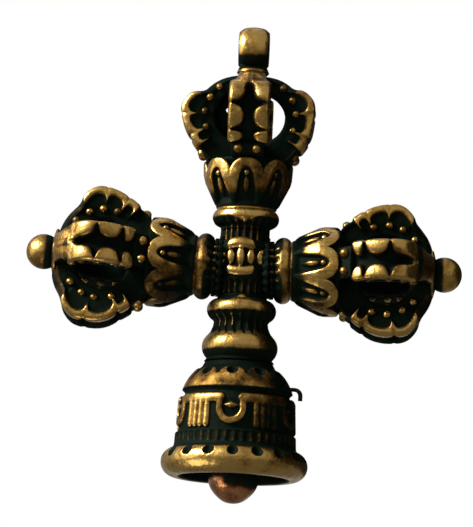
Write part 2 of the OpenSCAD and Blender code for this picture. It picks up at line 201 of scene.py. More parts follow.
def addPiece(name, skins, material, nodes, body="pendant"):
    # closed skins joined in one mesh, in metres, with each point's wear and painted shade as an attribute
    starts = np.cumsum([0] + [len(skin[0]) for skin in skins])
    verts = np.concatenate([skin[0] for skin in skins]) * mm
    wornAndShaded = np.concatenate([skin[1] for skin in skins])
    faces = [skin[k] + start for skin, start in zip(skins, starts) for k in (2, 3)]
    corners = np.concatenate([part.reshape(-1) for part in faces])
    lengths = np.concatenate([np.full(len(part), part.shape[1]) for part in faces])
    mesh = bpy.data.meshes.new(name)
    mesh.vertices.add(len(verts))
    mesh.vertices.foreach_set("co", verts.reshape(-1))
    mesh.loops.add(len(corners))
    mesh.loops.foreach_set("vertex_index", corners.astype(np.int32))
    mesh.polygons.add(len(lengths))
    mesh.polygons.foreach_set("loop_start", (np.cumsum(lengths) - lengths).astype(np.int32))
    mesh.polygons.foreach_set("use_smooth", np.ones(len(lengths), bool))
    mesh.update(calc_edges=True)
    wearAndShade = mesh.attributes.new("wearAndShade", "FLOAT", "POINT")
    wearAndShade.data.foreach_set("value", np.clip(wornAndShaded, 0, 1).astype(np.float32))
    mesh.materials.append(material)
    piece = addObject(name, mesh)
    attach(piece, body)
    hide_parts(*nodes)
    print(name, "made,", len(corners) - 2 * len(lengths), "triangles")


# materials
def srgb(code):  # hex colour to linear
    part = np.array([int(code[k:k + 2], 16) for k in (1, 3, 5)]) / 255
    return (*np.where(part <= 0.04045, part / 12.92, ((part + 0.055) / 1.055) ** 2.4), 1)


def addNode(tree, kind, inputs, stops=(), **settings):
    # a node with its settings; sockets in inputs are linked, the rest are values, and stops are a ramp's colours
    node = tree.nodes.new(kind)
    for key, value in settings.items():
        setattr(node, key, value)
    for key, value in inputs.items():
        if isinstance(value, bpy.types.NodeSocket):
            tree.links.new(value, node.inputs[key])
        else:
            node.inputs[key].default_value = value
    for _ in stops[2:]:
        node.color_ramp.elements.new(0.5)
    for k, (at, colour) in enumerate(stops):
        node.color_ramp.elements[k].position = at
        node.color_ramp.elements[k].color = srgb(colour)
    return node


def newMaterial(name):  # a material, its node tree and its shader
    material = bpy.data.materials.new(name)
    material.use_nodes = True
    return material, material.node_tree, material.node_tree.nodes["Principled BSDF"]


toneAt = (0.28, 0.45, 0.68, 0.86, 1.0)  # wear, with painted shade, at which an aged metal shows each of its tones
castTones = ("#060F07", "#2E200E", "#7A5A28", "#B48D45", "#BC9750")  # patina, brown, worn, bright, rubbed bare
redTones = ("#0A0F08", "#2A170C", "#7E4C2C", "#B47A4A", "#C08A5C")
noiseMiddle = {"From Min": 0.3, "From Max": 0.7}  # where most of a noise's values are
mattPatina = 0.03  # specular level of a black that hardly shines


def agedMetal(name, tones, grainMm, blotchMm, rubbedRough, waxed):
    # cast metal, blackened and then rubbed: matt black in the hollows, brown at their edges,
    # and bright under a little wax on what stands up
    material, tree, shader = newMaterial(name)
    place = addNode(tree, "ShaderNodeTexCoord", {}).outputs["Object"]
    # the wear attribute also holds painted shade on some sides of the lotus cups, the handle, the crown and the
    # skirt
    wearAndShade = addNode(tree, "ShaderNodeAttribute", {}, attribute_name="wearAndShade").outputs["Fac"]
    blotch = addNode(tree, "ShaderNodeTexNoise", {
        "Vector": place, "Scale": 1 / (blotchMm * mm), "Detail": 4, "Roughness": 0.6}).outputs["Fac"]
    grain = addNode(tree, "ShaderNodeTexNoise", {
        "Vector": place, "Scale": 1 / (grainMm * mm), "Detail": 3, "Roughness": 0.55}).outputs["Fac"]
    filed = addNode(tree, "ShaderNodeTexNoise", {
        "Vector": place, "Scale": 1 / (3 * grainMm * mm), "Detail": 2, "Roughness": 0.5}).outputs["Fac"]
    uneven = addNode(tree, "ShaderNodeMapRange", {"Value": blotch, **noiseMiddle, "To Min": -0.32, "To Max": 0.16})
    fine = addNode(tree, "ShaderNodeMapRange", {"Value": grain, **noiseMiddle, "To Min": -0.05, "To Max": 0.05})
    patchy = addNode(tree, "ShaderNodeMath", {0: wearAndShade, 1: uneven.outputs["Result"]}, operation="ADD")
    rubbedAndShaded = addNode(tree, "ShaderNodeMath", {
        0: patchy.outputs[0], 1: fine.outputs["Result"]}, operation="ADD", use_clamp=True).outputs[0]
    tone = addNode(tree, "ShaderNodeValToRGB", {"Fac": rubbedAndShaded}, stops=tuple(zip(toneAt, tones)))
    metal = addNode(tree, "ShaderNodeMapRange", {"Value": rubbedAndShaded, "From Min": 0.3, "From Max": 0.5})
    rough = addNode(tree, "ShaderNodeMapRange", {
        "Value": rubbedAndShaded, "From Min": 0.25, "From Max": 0.8, "To Min": 0.62, "To Max": rubbedRough})
    dull = addNode(tree, "ShaderNodeMath", {
        0: rough.outputs["Result"], 1: fine.outputs["Result"]}, operation="ADD")
    waves = addNode(tree, "ShaderNodeBump", {"Height": filed, "Strength": 0.4, "Distance": 0.2 * mm})
    dents = addNode(tree, "ShaderNodeBump", {
        "Height": grain, "Strength": 0.16, "Distance": 0.1 * mm, "Normal": waves.outputs["Normal"]})
    wax = addNode(tree, "ShaderNodeMapRange", {
        "Value": rubbedAndShaded, "From Min": 0.5, "From Max": 0.9, "To Max": waxed})
    tree.links.new(tone.outputs["Color"], shader.inputs["Base Color"])
    tree.links.new(metal.outputs["Result"], shader.inputs["Metallic"])
    tree.links.new(dull.outputs[0], shader.inputs["Roughness"])
    tree.links.new(wax.outputs["Result"], shader.inputs["Coat Weight"])
    tree.links.new(dents.outputs["Normal"], shader.inputs["Normal"])
    shader.inputs["Specular IOR Level"].default_value = mattPatina
    shader.inputs["Coat Roughness"].default_value = 0.22
    return material


def darkMetal(name, colour, edge, grainMm, metallic):
    # metal under an even black oxide: nearly matt, with a faint brown where it thins
    material, tree, shader = newMaterial(name)
    place = addNode(tree, "ShaderNodeTexCoord", {}).outputs["Object"]
    grain = addNode(tree, "ShaderNodeTexNoise", {
        "Vector": place, "Scale": 1 / (grainMm * mm), "Detail": 4, "Roughness": 0.6}).outputs["Fac"]
    tone = addNode(tree, "ShaderNodeValToRGB", {"Fac": grain}, stops=((0.45, colour), (0.8, edge)))
    rough = addNode(tree, "ShaderNodeMapRange", {"Value": grain, **noiseMiddle, "To Min": 0.65, "To Max": 0.45})
    dents = addNode(tree, "ShaderNodeBump", {"Height": grain, "Strength": 0.3, "Distance": 0.1 * mm})
    tree.links.new(tone.outputs["Color"], shader.inputs["Base Color"])
    tree.links.new(rough.outputs["Result"], shader.inputs["Roughness"])
    tree.links.new(dents.outputs["Normal"], shader.inputs["Normal"])
    shader.inputs["Metallic"].default_value = metallic
    shader.inputs["Specular IOR Level"].default_value = mattPatina
    return material


agedBrass = agedMetal("blackenedCastBrass", castTones, grainMm=0.25, blotchMm=1.6, rubbedRough=0.3, waxed=0.2)
dullBrass = agedMetal("dullCastBrass", castTones, grainMm=0.25, blotchMm=1.6, rubbedRough=0.58, waxed=0)
redBrass = agedMetal("blackenedRedBrass", redTones, grainMm=0.25, blotchMm=1.2, rubbedRough=0.24, waxed=0.2)
patinaBrass = darkMetal("patinatedBrass", "#060F07", "#1A130A", grainMm=0.4, metallic=0)
ironWire = darkMetal("oxidisedIronWire", "#2A2620", "#6A6252", grainMm=0.3, metallic=1)
print("materials made")

# lotus cups; heights run out from the arm's seat
lotus = {"neckR": 2.45, "sideNeckR": 2.9, "neckLen": 0.4, "ringR": 3.3, "ringTube": 0.9, "footR": 2.95,
         "bellyR": 4.27, "bellyDrop": 1.75, "mouthR": 4.22, "length": 6.9, "petals": 8, "petalHalf": 1.5,
         "slotAt": (0.05, 0.3, 0.55, 0.75), "slotHalf": (0.84, 0.62, 0.44, 0.38), "slotFrom": 0.5, "slotTop": 0.77,
         "archFrom": 0.66, "ribbon": 0.3, "lift": 0.18, "sink": 0.36, "gapDeep": 0.15,
         "beadAt": 0.66, "beadR": 0.36, "dropAt": 0.38, "dropHalf": (0.42, 1.0),
         "flutes": 22, "fluteDeep": 0.16, "grid": (170, 352), "ringWear": {"top": 1, "left": 0.66, "right": 0.8},
         "shadedSide": {"top": (-45, 0.25), "left": (200, 0.4), "right": (20, 0.2)}}  # side darkened as painted shade, in degrees, and how dark


def carveLotus(r, z, turn, arm):
    # petals as arches: a raised ribbon runs round a sunk slot that holds a bead and a drop,
    # and the ground between the tips is cut away
    s = lotus
    ringZ = s["neckLen"] + s["ringTube"]
    footZ = ringZ + s["ringTube"]
    tall = s["length"] - footZ
    q = (z - footZ) / tall  # 0 at the petals' foot, 1 at the mouth
    t = inRepeat(turn, frontTurn, s["petals"]) * 2  # -1 to 1 across a petal
    across = np.abs(t) * np.pi / s["petals"] * np.maximum(r, 1)
    slotW = np.interp(q, s["slotAt"], s["slotHalf"])
    over = np.clip(q - s["slotFrom"], 0, None) / (s["slotTop"] - s["slotFrom"])
    slotEdge = (np.hypot(t / slotW, over) - 1) * slotW * s["petalHalf"]
    above = np.clip(q - s["archFrom"], 0, None) / (1 - s["archFrom"])
    archEdge = (1 - np.hypot(t / 1.05, above)) * s["petalHalf"] + 0.5 * (1 - easeStep(0.4, 0.68, q))
    edge = np.minimum(slotEdge, archEdge)
    onPetal = easeStep(0.02, 0.16, q)
    ribbon = mound(np.clip(s["ribbon"] - edge, 0, s["ribbon"]), s["ribbon"])
    bead = mound(np.hypot(across, (q - s["beadAt"]) * tall), s["beadR"])
    dropX, dropZ = s["dropHalf"]
    taper = np.interp(q, [0.15, 0.55], [0.6, 1])
    drop = mound(np.hypot(across / (dropX * taper), (q - s["dropAt"]) * tall / dropZ), 1)
    inSlot = np.maximum(bead, drop)
    ground = -s["sink"] * (1 - easeStep(-0.12, 0.02, edge)) - s["gapDeep"] * easeStep(0.0, -0.25, archEdge)
    rise = onPetal * (ground + s["lift"] * ribbon + s["sink"] * inSlot)
    wearAndShade = onPetal * np.maximum(easeStep(0.1, 0.75, ribbon), 0.85 * easeStep(0.3, 0.8, inSlot))
    # painted shade: each cup is darkened on one side, its underside or its right side
    darkTurn, darkBy = s["shadedSide"][arm]
    paintedShade = darkBy * easeStep(0.1, 0.9, np.cos(turn - np.radians(darkTurn)))
    wearAndShade = wearAndShade * easeStep(0.08, 0.42, q) * (1 - paintedShade)
    fromFront = offMiddle(turn, frontTurn)
    goldFrom = -0.1 - 0.7 * easeStep(0.5, 0.0, fromFront)
    ringGold = easeStep(goldFrom - 0.2, goldFrom + 0.2, (z - ringZ) / s["ringTube"]) * easeStep(2.6, 2.9, r)
    wearAndShade = np.where((z > s["neckLen"]) & (z < footZ), s["ringWear"][arm] * ringGold, wearAndShade)
    flute = fluted(turn, s["flutes"])
    low = 1 - easeStep(ringZ - 0.5, ringZ - 0.15, z)
    rise = rise - s["fluteDeep"] * low * flute * easeStep(1.5, 2.2, r)
    streak = 0.6 * low * easeStep(0.5, 0.9, 1 - flute) * (1 - easeStep(0.5, 0.8, fromFront))
    mouth = easeStep(s["length"] - 0.04, s["length"], z)  # flat and black
    return rise * (1 - mouth), np.maximum(wearAndShade * (1 - mouth), streak)


def lotusOutline(s, neckR):  # neck, round ring, and a cup that swells to a belly below its mouth
    ringMid = (s["ringR"] - s["ringTube"], s["neckLen"] + s["ringTube"])
    belly = s["length"] - s["bellyDrop"]
    return [(0, 0), (neckR, 0), (neckR, s["neckLen"]), arcPoints(ringMid, s["ringTube"], -75, 62),
            (s["footR"], ringMid[1] + s["ringTube"]), (s["bellyR"] - 0.1, belly - 0.25), (s["bellyR"], belly + 0.25),
            (s["mouthR"] + 0.04, s["length"] - 0.25), (s["mouthR"] - 0.15, s["length"]), (0, s["length"])]


for arm in ("top", "left", "right"):
    outline = lotusOutline(lotus, lotus["neckR" if arm == "top" else "sideNeckR"])
    cup = turnSkin(outline, lotus["grid"], lambda r, z, turn: carveLotus(r, z, turn, arm))
    addPiece("lotusCup." + arm, placeSkins([cup], arm), agedBrass, [arm + "_lotus_cup"])

# prongs; degrees run round the arch from its middle, towards the tip
prong = {"archMid": (0.9, 11.4), "archOut": 4.7, "archIn": 2.5, "halfW": 1.4, "rimHalf": 2.05, "bendEnd": 83,
         "padTurn": ((33, 5.5), (3.2, -22), (-24.5, -38)),
         "crestTurn": (-60, -50, -34, -19, -6, 6, 12, 18, 25, 31, 37, 43, 57, 83),
         "crestR": (5.75, 5.7, 5.42, 5.6, 5.78, 6.0, 6.02, 5.98, 5.75, 5.5, 5.15, 5.0, 4.95, 4.8),
         "channelTurn": (-40, 15, 24, 33), "channelHalf": (0.36, 0.36, 0.28, 0.14),
         "innerR": 1.25, "zLow": 6.85, "zHigh": 16.2, "rows": 220, "firstSeed": 36,
         "grainTurn": (51, 28, 4, -20), "grainRho": 3.62, "grainR": 0.42, "grainGrid": (9, 14),
         "footBead": (-47.5, 5.3, 0.9, 0.52)}  # degrees, distance from the arch's middle, distance aside, radius
# a casting: degrees by which its crest's upper end is off, that end's growth, the tip's growth and wear,
# and how black it stayed before the tip
plainCasting = (0, 0, 0.45, 0.9, 0.4)
castings = {"top.front": (0, 0, -0.1, 0.9, 0.15), "top.left": (-8, 0.05, -0.5, 0.3, 0),
            "top.right": (1, -0.35, -0.55, 0.3, 0), "top.back": (0, 0, -0.5, 0.3, 0),
            "left.upper": (-6, 0, -0.15, 0.4, 0), "left.lower": (7, 0.25, 0.15, 0.5, 0),
            "right.front": (0, 0, 0.45, 0.82, 0.6), "right.upper": (-1, -0.1, 0, 0.3, 0),
            "right.lower": (6, 0.05, 0.05, 0.3, 0)}
darkerBackHalf = {"left.lower": 1, "right.lower": -1}  # the lower prongs are darker on their back half
prongTurns = {"top": {"front": -90, "right": 0, "back": 90, "left": 180},
              "left": {"front": -90, "upper": 0, "back": 90, "lower": 180},
              "right": {"front": -90, "lower": 0, "back": 90, "upper": 180}}


def prongSkins(s, turnDeg, casting, hand, seed):
    # a section (across, out from the arch's middle) carried along the arch, with a row of round pads each side
    # of a channel; grains lie along both flanks
    chance = np.random.default_rng(seed)  # every casting differs a little
    shift, grow, tipGrow, tipWear, tipGap = casting
    degrees = np.linspace(-s["bendEnd"], s["bendEnd"], s["rows"])
    upper = degrees - shift * easeStep(-15, 12, degrees)
    top = np.interp(upper, s["crestTurn"], s["crestR"])
    top = np.convolve(np.pad(top, 5, "edge"), np.ones(11) / 11, "valid")
    atTip = easeStep(28, 45, upper)
    top = top + grow * easeStep(-30, 0, degrees) * (1 - atTip) + tipGrow * atTip
    apart = [np.abs(upper - (high + low) / 2) / (high - low) * 2 for high, low in s["padTurn"]]
    pad = np.max([np.clip(1 - d ** 2.4, 0, None) ** (1 / 2.4) for d in apart], 0)
    pad = np.where(upper > np.mean(s["padTurn"][0]), 1, pad)  # the uppermost pad stays open towards the tip
    foot = 1 - easeStep(-41, -38.5, degrees)
    on = (1 - foot) * (1 - easeStep(33, 38, upper))  # 1 on the crest
    hollow = on * (1 - easeStep(22, 33, upper))  # the channel closes towards the tip
    off = (1 - on) * (1 - foot)
    band = easeStep(31, 36, upper) * (1 - easeStep(80, 83, degrees))
    top = top - 0.16 * (1 - pad) * on - 0.3 * foot
    channel = np.interp(upper, s["channelTurn"], s["channelHalf"])
    innerEdge = s["rimHalf"] - 0.5 - (s["rimHalf"] - 0.5 - channel) * pad
    side = s["halfW"] + (s["rimHalf"] - s["halfW"]) * (1 - foot) * (1 - easeStep(31, 58, upper)) + 0.2 * foot
    rimLow = top - 0.3 * foot - 0.8 * off - (0.8 + 0.7 * (1 - pad)) * on
    floor = top + (s["archOut"] - 0.1 - top) * hollow
    flank = s["halfW"] + 0.25 * on
    closing = on - hollow
    tipGold = tipWear * band * (1 - tipGap * easeStep(35, 38, upper) * (1 - easeStep(41, 45, upper)))
    edgeGold = np.maximum(on * (0.85 + 0.15 * pad), tipGold)
    padGold = np.maximum(on * pad, tipGold)
    floorGold = np.maximum(tipGold, 0.7 * easeStep(0.55, 0.9, closing))
    zero = np.zeros_like(degrees)
    halfSection = (  # across, out and wear, from the inner side round to the channel's floor
        (zero, zero + s["archIn"], zero),
        (zero + 1.0, zero + s["archIn"], zero),
        (zero + s["halfW"], zero + s["archIn"] + 0.2, zero),
        (zero + s["halfW"], zero + 3.4, zero),
        (flank, zero + 3.9, zero),
        (flank + 0.05 * on, rimLow - 0.12, zero),
        (side - 0.14 * on, rimLow, 0.7 * on),
        (side, rimLow + 0.18 * on + 0.04, edgeGold),
        (side - 0.03 * on - 0.06 * off, top - 0.25 * on - 0.05 - 0.35 * off, edgeGold),
        (side - 0.28 - 0.3 * off, top - 0.1 * off, edgeGold),
        (np.minimum(innerEdge + 0.38, side - 0.36 - 0.32 * off), top - 0.05 * on - 0.06 * off, padGold),
        (np.minimum(innerEdge + 0.1, side - 0.76), top - 0.38 * hollow - 0.02 * on, 0.75 * padGold),
        (np.minimum(innerEdge, side - 0.9), floor + 0.12 * hollow - 0.06 * closing, floorGold),
        (np.minimum(innerEdge, side - 0.9) / 2, floor - 0.08 * closing, floorGold),
        (zero, floor - 0.08 * closing, floorGold))
    halfLoop = np.stack([np.stack(row, -1) for row in halfSection], 1)
    mirrored = halfLoop[:, -2:0:-1] * [-1, 1, 1]
    loop = cutCorners(np.concatenate([halfLoop, mirrored], 1), 2)
    # the lower prongs are darker on their back half
    loop[..., 2] *= 1 - 0.75 * easeStep(0, 0.3, -hand * loop[..., 0])
    archX, archZ = s["archMid"]
    bend = np.radians(degrees)[:, None]
    out = np.maximum(archX + loop[..., 1] * np.cos(bend), s["innerR"])
    along = np.clip(archZ + loop[..., 1] * np.sin(bend), s["zLow"], s["zHigh"])
    skins = [closeSkin(turnAbout(np.stack([out, loop[..., 0], along], -1), turnDeg), loop[..., 2])]
    grains = [(turn, s["grainRho"], s["halfW"] + 0.08, s["grainR"]) for turn in s["grainTurn"]]
    for turn, rho, aside, r in grains + [s["footBead"]]:
        at = np.radians(turn + chance.uniform(-2, 2))
        for across in (-aside, aside):
            spot = turnAbout(np.array([archX + rho * np.cos(at), across, archZ + rho * np.sin(at)]), turnDeg)
            skins.append(beadSkin(spot, r * chance.uniform(0.85, 1.05), chance.uniform(0.65, 1), s["grainGrid"]))
    return skins


web = {"prong": "top.left", "inner": 1.7, "reach": 2.3, "half": 0.3, "nick": (0.75, 0.35, 0.8),
       "grid": (60, 24)}  # thin black plate that fills one window; the nick's height, radius and depth


def webSkin(s, turnDeg):
    # thin plate in the plane of the arch, a flat oval in section, from the arch's inner side to near the core
    archX, archZ = prong["archMid"]
    rows, cols = s["grid"]
    rise = np.linspace(-s["reach"], s["reach"], rows)[:, None]
    outer = archX + np.sqrt((prong["archIn"] + 0.15) ** 2 - rise ** 2)
    nickAt, nickR, nickDeep = s["nick"]
    inner = s["inner"] + nickDeep * mound(rise - nickAt, nickR)
    around = np.linspace(0, 2 * np.pi, cols, endpoint=False)[None]
    out = (outer + inner) / 2 + (outer - inner) / 2 * np.cos(around)
    points = np.stack([out, s["half"] * np.sin(around) + 0 * out, archZ + rise + 0 * out], -1)
    return closeSkin(turnAbout(points, turnDeg), 0 * out)


prongPlaces = [(arm, side, degrees) for arm, turns in prongTurns.items() for side, degrees in turns.items()]
for count, (arm, side, degrees) in enumerate(prongPlaces):
    place = arm + "." + side
    skins = prongSkins(prong, degrees, castings.get(place, plainCasting), darkerBackHalf.get(place, 0),
                       prong["firstSeed"] + count)
    if place == web["prong"]:
        skins.append(webSkin(web, degrees))
    addPiece("prong." + place, placeSkins(skins, arm), agedBrass, [arm + "_prong_" + side])

# tips of the side arms, and the bail on the top arm
tip = {"z": 15.9, "capR": 2.4, "bailCapR": 1.62, "neckR": 1.25, "capH": 0.5, "ballR": 1.745, "ballRise": 1.35,
       "grid": (90, 96)}
bail = {"boreR": 1.45, "wall": 0.75, "width": 3.0, "edge": 0.62, "rise": 2.5, "footHalf": (1.38, 1.15),
        "bandRows": 160, "footGrid": (24, 64), "capGrid": (50, 96)}


def capOutline(capR):  # low cap with a rounded edge, sloping in to the neck
    z = tip["z"]
    return [(0, z - 0.02), (capR - 0.1, z - 0.02), (capR, z + 0.08), (capR - 0.08, z + 0.28),
            (tip["neckR"] + 0.2, z + tip["capH"])]


def carveTip(r, z, turn):  # no relief: the ball and the cap's edge are rubbed, the groove between them stays black
    rise = z - tip["z"]
    rubbedCap = 0.8 * easeStep(1.3, 1.6, r) * (1 - easeStep(0.28, 0.45, rise))
    return 0 * turn, np.maximum(rubbedCap, 0.9 * easeStep(0.75, 1.4, rise)) + 0 * turn


ballOutline = capOutline(tip["capR"]) + [(tip["neckR"], tip["z"] + 0.65),
                                         arcPoints((0, tip["z"] + tip["ballRise"]), tip["ballR"], -38, 90, 30)]
for arm in ("left", "right"):
    ball = turnSkin(ballOutline, tip["grid"], carveTip)
    addPiece("tipBall." + arm, placeSkins([ball], arm), agedBrass, [arm + "_tip_ball"])


def bailSkins(s):
    # a flat band with rounded edges carried round the bore, on a squarish foot that stands on the cap
    boreR, outR, half, edge = s["boreR"], s["boreR"] + s["wall"], s["width"] / 2, s["edge"]
    halfSection = np.array([(half - edge, outR), (half, outR - edge * 0.8), (half, boreR + 0.15),
                            (half - 0.1, boreR + 0.02)])
    loop = cutCorners(np.concatenate([halfSection[::-1] * [-1, 1], halfSection])[None], 3)[0]
    turn = np.linspace(0, 2 * np.pi, s["bandRows"], endpoint=False)[:, None]
    x, rho = loop[:, 0][None], loop[:, 1][None]
    y, z = rho * np.cos(turn), rho * np.sin(turn)
    # the band is black at its bottom, by the foot, and inside the bore
    wearAndShade = easeStep(-1.3, -0.6, z) * easeStep(boreR + 0.1, boreR + 0.4, rho)
    band = closeSkin(np.stack([x + 0 * y, y, z + tip["z"] + s["rise"]], -1), wearAndShade, ring=True)
    rows, cols = s["footGrid"]
    level = np.linspace(0, 1, rows)[:, None]
    around = np.linspace(0, 2 * np.pi, cols, endpoint=False)[None]
    c, n = np.cos(around), np.sin(around)
    reach = (np.abs(c) ** 5 + np.abs(n) ** 5) ** -0.2
    height = tip["z"] + 0.25 + level * (s["rise"] - boreR - 0.45) + 0 * c
    footX, footY = s["footHalf"]
    foot = np.stack([footX * reach * c + 0 * level, footY * reach * n + 0 * level, height], -1)
    cap = turnSkin(capOutline(tip["bailCapR"]) + [(0, tip["z"] + tip["capH"])], s["capGrid"], carveTip)
    return [band, closeSkin(foot, 0.1 + 0 * height), cap]


addPiece("bailBand", placeSkins(bailSkins(bail), "top"), agedBrass, ["bail"])

# hub
hub = {"r": 2.95, "barrelHalf": 1.95, "neckR": 2.45, "sideNeckR": 3.2, "neckFrom": 1.85, "reachX": 2.59,
       "reachZ": 3.19, "turnOff": -5, "barZ": (1.63, -1.12), "barHalf": 0.54, "barLong": 1.0, "barBow": 0.12,
       "barLift": 0.48, "ovals": 18, "ovalZ": 0.33, "ovalHalf": (0.45, 0.8), "middleHalf": 1.05, "ovalLift": 0.42,
       "flutes": 22, "fluteDeep": 0.2, "grid": (130, 264), "neckGrid": (40, 264)}


def carveHub(r, z, turn):
    # two short bars with a row of upright ovals between them stand on the barrel, and the necks are fluted
    s = hub
    middle = frontTurn + np.radians(s["turnOff"])
    fromFront = offMiddle(turn, middle) * s["r"]
    bars = 0
    for barZ in s["barZ"]:
        fromBar = z - barZ + s["barBow"] * np.clip(fromFront, 0, 2) ** 2 * np.sign(barZ)
        past = np.clip(fromFront - s["barLong"], 0, None)
        bars = np.maximum(bars, mound(np.hypot(past, fromBar), s["barHalf"]))
        bars = np.maximum(bars, 0.4 * mound(fromBar, s["barHalf"]))
    ovalX, ovalTall = s["ovalHalf"]
    pitch = 2 * np.pi / s["ovals"] * s["r"]
    tall = np.where(fromFront < pitch / 2, s["middleHalf"], ovalTall)
    across = inRepeat(turn, middle, s["ovals"]) * pitch
    ovals = mound(np.hypot(across / ovalX, (z - s["ovalZ"]) / tall), 1)
    flute = fluted(turn, s["flutes"])
    neck = easeStep(s["barrelHalf"] - 0.05, s["barrelHalf"] + 0.15, np.abs(z - 0.1)) * easeStep(1.8, 2.3, r)
    rise = s["barLift"] * bars + s["ovalLift"] * ovals - s["fluteDeep"] * neck * flute
    faced = 1 - easeStep(2.2, 3.0, fromFront)
    wearAndShade = np.maximum(easeStep(0.42, 0.7, bars), easeStep(0.15, 0.5, ovals)) * faced
    return rise, np.maximum(wearAndShade, 0.56 * neck * easeStep(0.5, 0.9, 1 - flute) * faced)


def carveNeck(r, z, turn):  # fluted all round
    flute = fluted(turn, hub["flutes"])
    return -hub["fluteDeep"] * flute * easeStep(1.8, 2.3, r), 0.25 * (1 - flute) + 0 * r


def hubSkins(s):
    # barrel and necks, cut off flat at the seats of the four arms
    step, neckR, sideR, neckFrom = s["barrelHalf"], s["neckR"], s["sideNeckR"], s["neckFrom"]
    barrel = turnSkin([(0, -s["reachZ"]), (neckR, -s["reachZ"]), (neckR, -step - 0.2), (s["r"] - 0.15, -step),
                       (s["r"] - 0.1, step), (neckR, step + 0.2), (neckR, s["reachZ"]), (0, s["reachZ"])],
                      s["grid"], carveHub)
    sideNeck = turnSkin([(0, neckFrom), (sideR - 0.4, neckFrom), (sideR, neckFrom + 0.3), (sideR, s["reachX"]),
                         (0, s["reachX"])], s["neckGrid"], carveNeck)
    verts = barrel[0]
    skins = [barrel]
    for arm in ("left", "right"):
        basis, drop = arms[arm]["basis"], arms[arm]["drop"]
        outX, outZ = basis[0, 2], basis[2, 2]
        seatX = (s["reachX"] - outZ * (verts[:, 2] + drop)) / outX
        verts[:, 0] = np.maximum(verts[:, 0], seatX) if outX < 0 else np.minimum(verts[:, 0], seatX)
        placed = sideNeck[0] @ basis.T - [0, 0, drop]
        placed[:, 2] = np.maximum(placed[:, 2], -s["reachZ"])
        skins.append((placed, *sideNeck[1:]))
    return [(skin[0] + hubMiddle, *skin[1:]) for skin in skins]


addPiece("hubKnot", hubSkins(hub), agedBrass, ["hub"])


# bell; depths run down from the hub's lower seat
def rightward(turn):  # angle from the front or the back towards the bell's right side, which is darkened as painted shade
    return np.arcsin(np.clip(np.cos(turn), 0, 1))


handle = {"neckR": 2.45, "ringR": 3.43, "ringTube": 1.1, "ringD": 1.5, "waistR": 2.68, "bulbR": 3.75,
          "bulbTube": 1.5, "bulbD": 5.2, "seatR": 3.45, "endD": 6.65, "flutes": 22, "fluteDeep": 0.2,
          "fluteTop": 1.7, "fluteEnd": 4.15, "grid": (170, 308)}


def carveHandle(r, z, turn):
    # grooves round the waist start in round tops on the ring and run out in points on the bulb;
    # the ring's gold runs up in a leaf at the front, the ridges are lightened on the left as painted light,
    # and the right side is darkened as painted shade
    s = handle
    t = np.abs(inRepeat(turn, 0, s["flutes"])) * 2
    start = s["fluteTop"] + 0.3 * t ** 2
    end = s["fluteEnd"] - 0.75 * t
    inFlute = easeStep(start, start + 0.25, z) * (1 - easeStep(end - 0.2, end, z))
    groove = inFlute * mound(t, 0.85)
    goldFrom = 0.7 - 0.65 * easeStep(0.45, 0.0, offMiddle(turn, bellFront))
    onRing = easeStep(goldFrom - 0.1, goldFrom + 0.25, z) * (1 - easeStep(s["ringD"] + 0.1, s["ringD"] + 0.5, z))
    onBulb = easeStep(3.4, 4.2, z) * (1 - easeStep(5.4, 5.9, z))
    # painted shade: darker towards the right side
    paintedShade = 0.5 * easeStep(0.4, 1.0, rightward(turn))
    gold = np.maximum(onRing, onBulb) * (1 - easeStep(0.1, 0.5, groove)) * (1 - paintedShade)
    fromFront = turn - bellFront
    # painted light: the ridges are lightened on the left
    paintedLightLeft = easeStep(-0.2, 0.2, fromFront) * (1 - easeStep(0.9, 1.3, fromFront))
    ridge = (0.42 + 0.36 * paintedLightLeft) * inFlute * easeStep(0.6, 0.95, t)
    return -s["fluteDeep"] * groove, np.maximum(gold, ridge)


def handleOutline(s):  # neck, round ring, waist and round bulb
    ring, bulb = (s["ringR"] - s["ringTube"], s["ringD"]), (s["bulbR"] - s["bulbTube"], s["bulbD"])
    return [(0, 0.01), (s["neckR"], 0.01), (s["neckR"], 0.45), arcPoints(ring, s["ringTube"], -80, 62, 20),
            (s["waistR"], s["ringD"] + s["ringTube"] + 0.1), (s["waistR"] + 0.08, 3.2), (s["waistR"] + 0.3, 3.75),
            arcPoints(bulb, s["bulbTube"], -42, 50, 24), (s["seatR"], s["endD"]), (0, s["endD"])]


handleSkin = turnSkin(handleOutline(handle), handle["grid"], carveHandle)
addPiece("bellHandle", placeSkins([handleSkin], "bell"), agedBrass, ["bell_handle"])

crown = {"topD": 6.65, "collarR": 3.53, "mid": (0.596, 11.184), "domeR": 5.1, "shoulderTurn": 17.5,
         "shoulderD": 9.65, "wall": 0.8, "pits": 10, "pitTurn": 41, "pitR": 0.56, "pitDeep": 0.5, "pitOff": 6,
         "cutBack": 0.14, "wearAndShade": 0.64, "spigotR": 4.67, "spigotWall": 0.5, "spigotLen": 0.7, "grid": (200, 360)}


